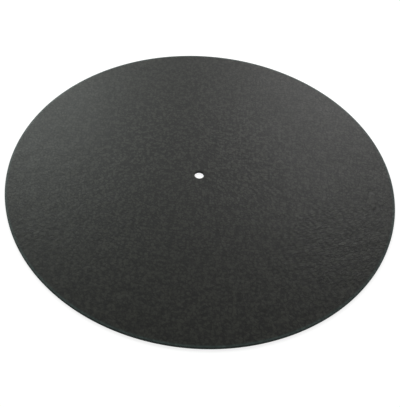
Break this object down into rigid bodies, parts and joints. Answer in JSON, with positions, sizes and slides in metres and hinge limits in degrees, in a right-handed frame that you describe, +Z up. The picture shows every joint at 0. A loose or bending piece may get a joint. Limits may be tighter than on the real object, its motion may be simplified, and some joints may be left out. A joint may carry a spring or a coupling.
{
  "type": "turntable platter mat",
  "caption": "Flat round leather mat with a punched spindle hole in its middle; it lies on a turntable's platter and carries the record.",
  "frame": {"origin": "centre of the spindle hole on the underside, the flesh side that lies on the platter", "axes": "+Z up along the spindle hole's axis, from the flesh side to the grain side; X and Y lie in the disc, which is round, so -Y is only the side nearest the camera in the picture"},
  "size_m": [0.3, 0.3, 0.0018],
  "materials": {
    "black_leather": "natural grain, satin sheen, dyed black through"
  },
  "bodies": {
    "root": {"platter_mat": "black_leather"}
  },
  "joints": []
}
